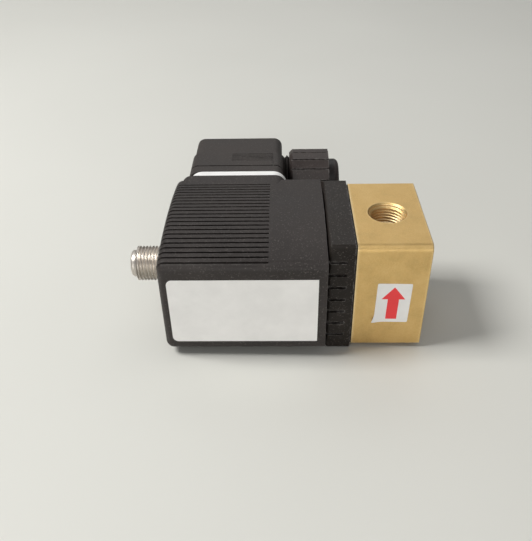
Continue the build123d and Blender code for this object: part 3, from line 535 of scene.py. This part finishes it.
# ---------------------------------------------------------------- flow arrow sticker
def build_arrow_sticker(turn=math.radians(-1.2), lift=0.7 * MM, lift_reach=2.8 * MM, pull=0.8 * MM,
                        film=0.11 * MM, glue=0.01 * MM, ink=0.035 * MM, ink_gap=0.003 * MM,
                        corner=0.25 * MM):
    """A paper-thin label, stuck on slightly askew, with one corner coming off, and its printed arrow."""
    low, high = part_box("arrow_label")
    middle = (low + high) / 2
    half_width, half_height = (high.x - low.x) / 2, (high.z - low.z) / 2
    cos_turn, sin_turn = math.cos(turn), math.sin(turn)

    def place(across, up, out):
        """A point on the label: across and up from its middle, out from the brass."""
        left_corner = Vector((across + half_width, up + half_height)).length
        free = max(0.0, 1 - left_corner / lift_reach) ** 2
        curl, across = free * lift, across - free * pull
        return Vector((middle.x + across * cos_turn - up * sin_turn,
                       high.y - out - curl,
                       middle.z + across * sin_turn + up * cos_turn))

    columns, rows = 18, 26
    front, back = [], []
    for j in range(rows + 1):
        for i in range(columns + 1):
            across = half_width * (2 * i / columns - 1)
            up = half_height * (2 * j / rows - 1)
            # the four corners are cut a little round
            over_x, over_z = abs(across) - half_width + corner, abs(up) - half_height + corner
            if over_x > 0 and over_z > 0:
                shrink = corner * 0.3
                across -= math.copysign(shrink, across)
                up -= math.copysign(shrink, up)
            front.append(place(across, up, film))
            back.append(place(across, up, glue))
    size = len(front)
    width = columns + 1
    faces = []
    for j in range(rows):
        for i in range(columns):
            a = j * width + i
            faces.append((a, a + 1, a + width + 1, a + width))
            faces.append((size + a + width, size + a + width + 1, size + a + 1, size + a))
    rim = list(range(width))
    rim += [j * width + columns for j in range(1, rows + 1)]
    rim += [rows * width + i for i in range(columns - 1, -1, -1)]
    rim += [j * width for j in range(rows - 1, 0, -1)]
    for a, b in zip(rim, rim[1:] + rim[:1]):
        faces.append((a, size + a, size + b, b))
    sticker = mesh_object("arrow_sticker", front + back, faces, False)
    give(sticker, "label_white")
    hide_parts("arrow_label")
    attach(sticker, "valve")

    arrow_low, arrow_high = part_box("flow_arrow")
    wing = (arrow_high.x - arrow_low.x) / 2
    bottom, top = arrow_low.z - middle.z, arrow_high.z - middle.z
    shaft, neck = 0.475 * wing, top - 0.37 * (top - bottom)
    outline = [(-shaft, bottom), (shaft, bottom), (shaft, neck), (wing, neck), (0, top), (-wing, neck),
               (-shaft, neck)]
    count = len(outline)
    points = [place(across, up, film + ink) for across, up in outline]
    points += [place(across, up, film + ink_gap) for across, up in outline]
    faces = [(0, 1, 2, 6), (6, 2, 4), (6, 4, 5), (2, 3, 4),
             (count + 6, count + 2, count + 1, count), (count + 4, count + 2, count + 6),
             (count + 5, count + 4, count + 6), (count + 4, count + 3, count + 2)]
    for k in range(count):
        faces.append((k, count + k, count + (k + 1) % count, (k + 1) % count))
    arrow = mesh_object("printed_arrow", points, faces, False)
    give(arrow, "arrow_red")
    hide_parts("flow_arrow")
    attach(arrow, "valve")


build_arrow_sticker()

# ---------------------------------------------------------------- floor, light and camera
# the valve rests on the flange's edge and the coil's far end, so the floor leans against its frame
flange_low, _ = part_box("clamp_flange")
coil_low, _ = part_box("coil_housing")
flange_rounding = 0.7 * MM
coil_rounding = 2.1 * MM
floor_gap = 0.03 * MM
flange_contact = Vector((flange_low.x + flange_rounding, 0, flange_low.z))
coil_contact = Vector((coil_low.x + coil_rounding, 0, coil_low.z))
lean = math.atan2(coil_contact.z - flange_contact.z, flange_contact.x - coil_contact.x)
reach = 3.0
floor_mesh = bpy.data.meshes.new("floor")
floor_mesh.from_pydata(
    [(-reach, -reach, 0), (reach, -reach, 0), (reach, reach, 0), (-reach, reach, 0)], [], [(0, 1, 2, 3)])
floor = bpy.data.objects.new("floor", floor_mesh)
floor.location = flange_contact - Vector((0, 0, floor_gap))
floor.rotation_euler = (0, lean, 0)
scene.collection.objects.link(floor)


def build_floor(add):
    cloud = noise(add, 5, 3, 0.5)
    base = ramp(add, cloud, [(0.3, (0.70, 0.70, 0.655)), (0.7, (0.74, 0.74, 0.695))])
    return add("ShaderNodeBsdfPrincipled", {"Base Color": base, "Roughness": 0.7})


floor_mesh.materials.append(surface_material("floor_paper", build_floor))

world = bpy.data.worlds.new("studio")
scene.world = world
world.use_nodes = True
world.node_tree.nodes["Background"].inputs[0].default_value = (1.0, 1.0, 1.0, 1)
world.node_tree.nodes["Background"].inputs[1].default_value = 0.2


def soft_light(name, azimuth, elevation, distance, size, power, colour, only_shine=False):
    """An area light aimed at the valve's middle. Azimuth 0 is in front, and 90 is at +X. With
    only_shine it shows in glossy surfaces and leaves matt ones alone."""
    turn, rise = math.radians(azimuth), math.radians(elevation)
    place = centre + distance * Vector((math.sin(turn) * math.cos(rise), -math.cos(turn) * math.cos(rise),
                                        math.sin(rise)))
    data = bpy.data.lights.new(name, "AREA")
    data.shape = "RECTANGLE"
    data.size, data.size_y = size
    data.energy = power
    data.color = colour
    lamp = bpy.data.objects.new(name, data)
    lamp.location = place
    lamp.visible_diffuse = not only_shine
    lamp.rotation_euler = (centre - place).to_track_quat("-Z", "Y").to_euler()
    scene.collection.objects.link(lamp)


centre = (cad_low + cad_high) / 2
soft_light("window", -83, 54, 0.75, (0.26, 0.26), 4.5, (1.0, 0.99, 0.97))
soft_light("sky", 180, 40, 1.3, (1.3, 0.8), 3.1, (1.0, 0.995, 0.98))
soft_light("ceiling", 5, 62, 1.1, (0.5, 0.22), 1.3, (1.0, 0.99, 0.97), True)
soft_light("front_fill", -10, 12, 1.0, (0.9, 0.5), 3.1, (1.0, 0.985, 0.965))

# the camera: lens from the picture's angle of view, turned in yaw, pitch and roll
camera_data = bpy.data.cameras.new("camera")
camera_data.sensor_width = 36
camera_data.lens = 43.25
camera_data.clip_start = 0.005
camera = bpy.data.objects.new("camera", camera_data)
scene.collection.objects.link(camera)
scene.camera = camera
yaw, pitch, roll = math.radians(-1.81), math.radians(36.46), math.radians(-1.37)
forward = Vector((math.sin(yaw) * math.cos(pitch), math.cos(yaw) * math.cos(pitch), -math.sin(pitch)))
level_right = Vector((math.cos(yaw), -math.sin(yaw), 0))
level_up = level_right.cross(forward)
right = math.cos(roll) * level_right + math.sin(roll) * level_up
up = -math.sin(roll) * level_right + math.cos(roll) * level_up
camera.matrix_world = Matrix((
    (right.x, up.x, -forward.x, -27.8 * MM),
    (right.y, up.y, -forward.y, -147.8 * MM),
    (right.z, up.z, -forward.z, 122.4 * MM),
    (0, 0, 0, 1),
))
scene.view_settings.view_transform = "Standard"
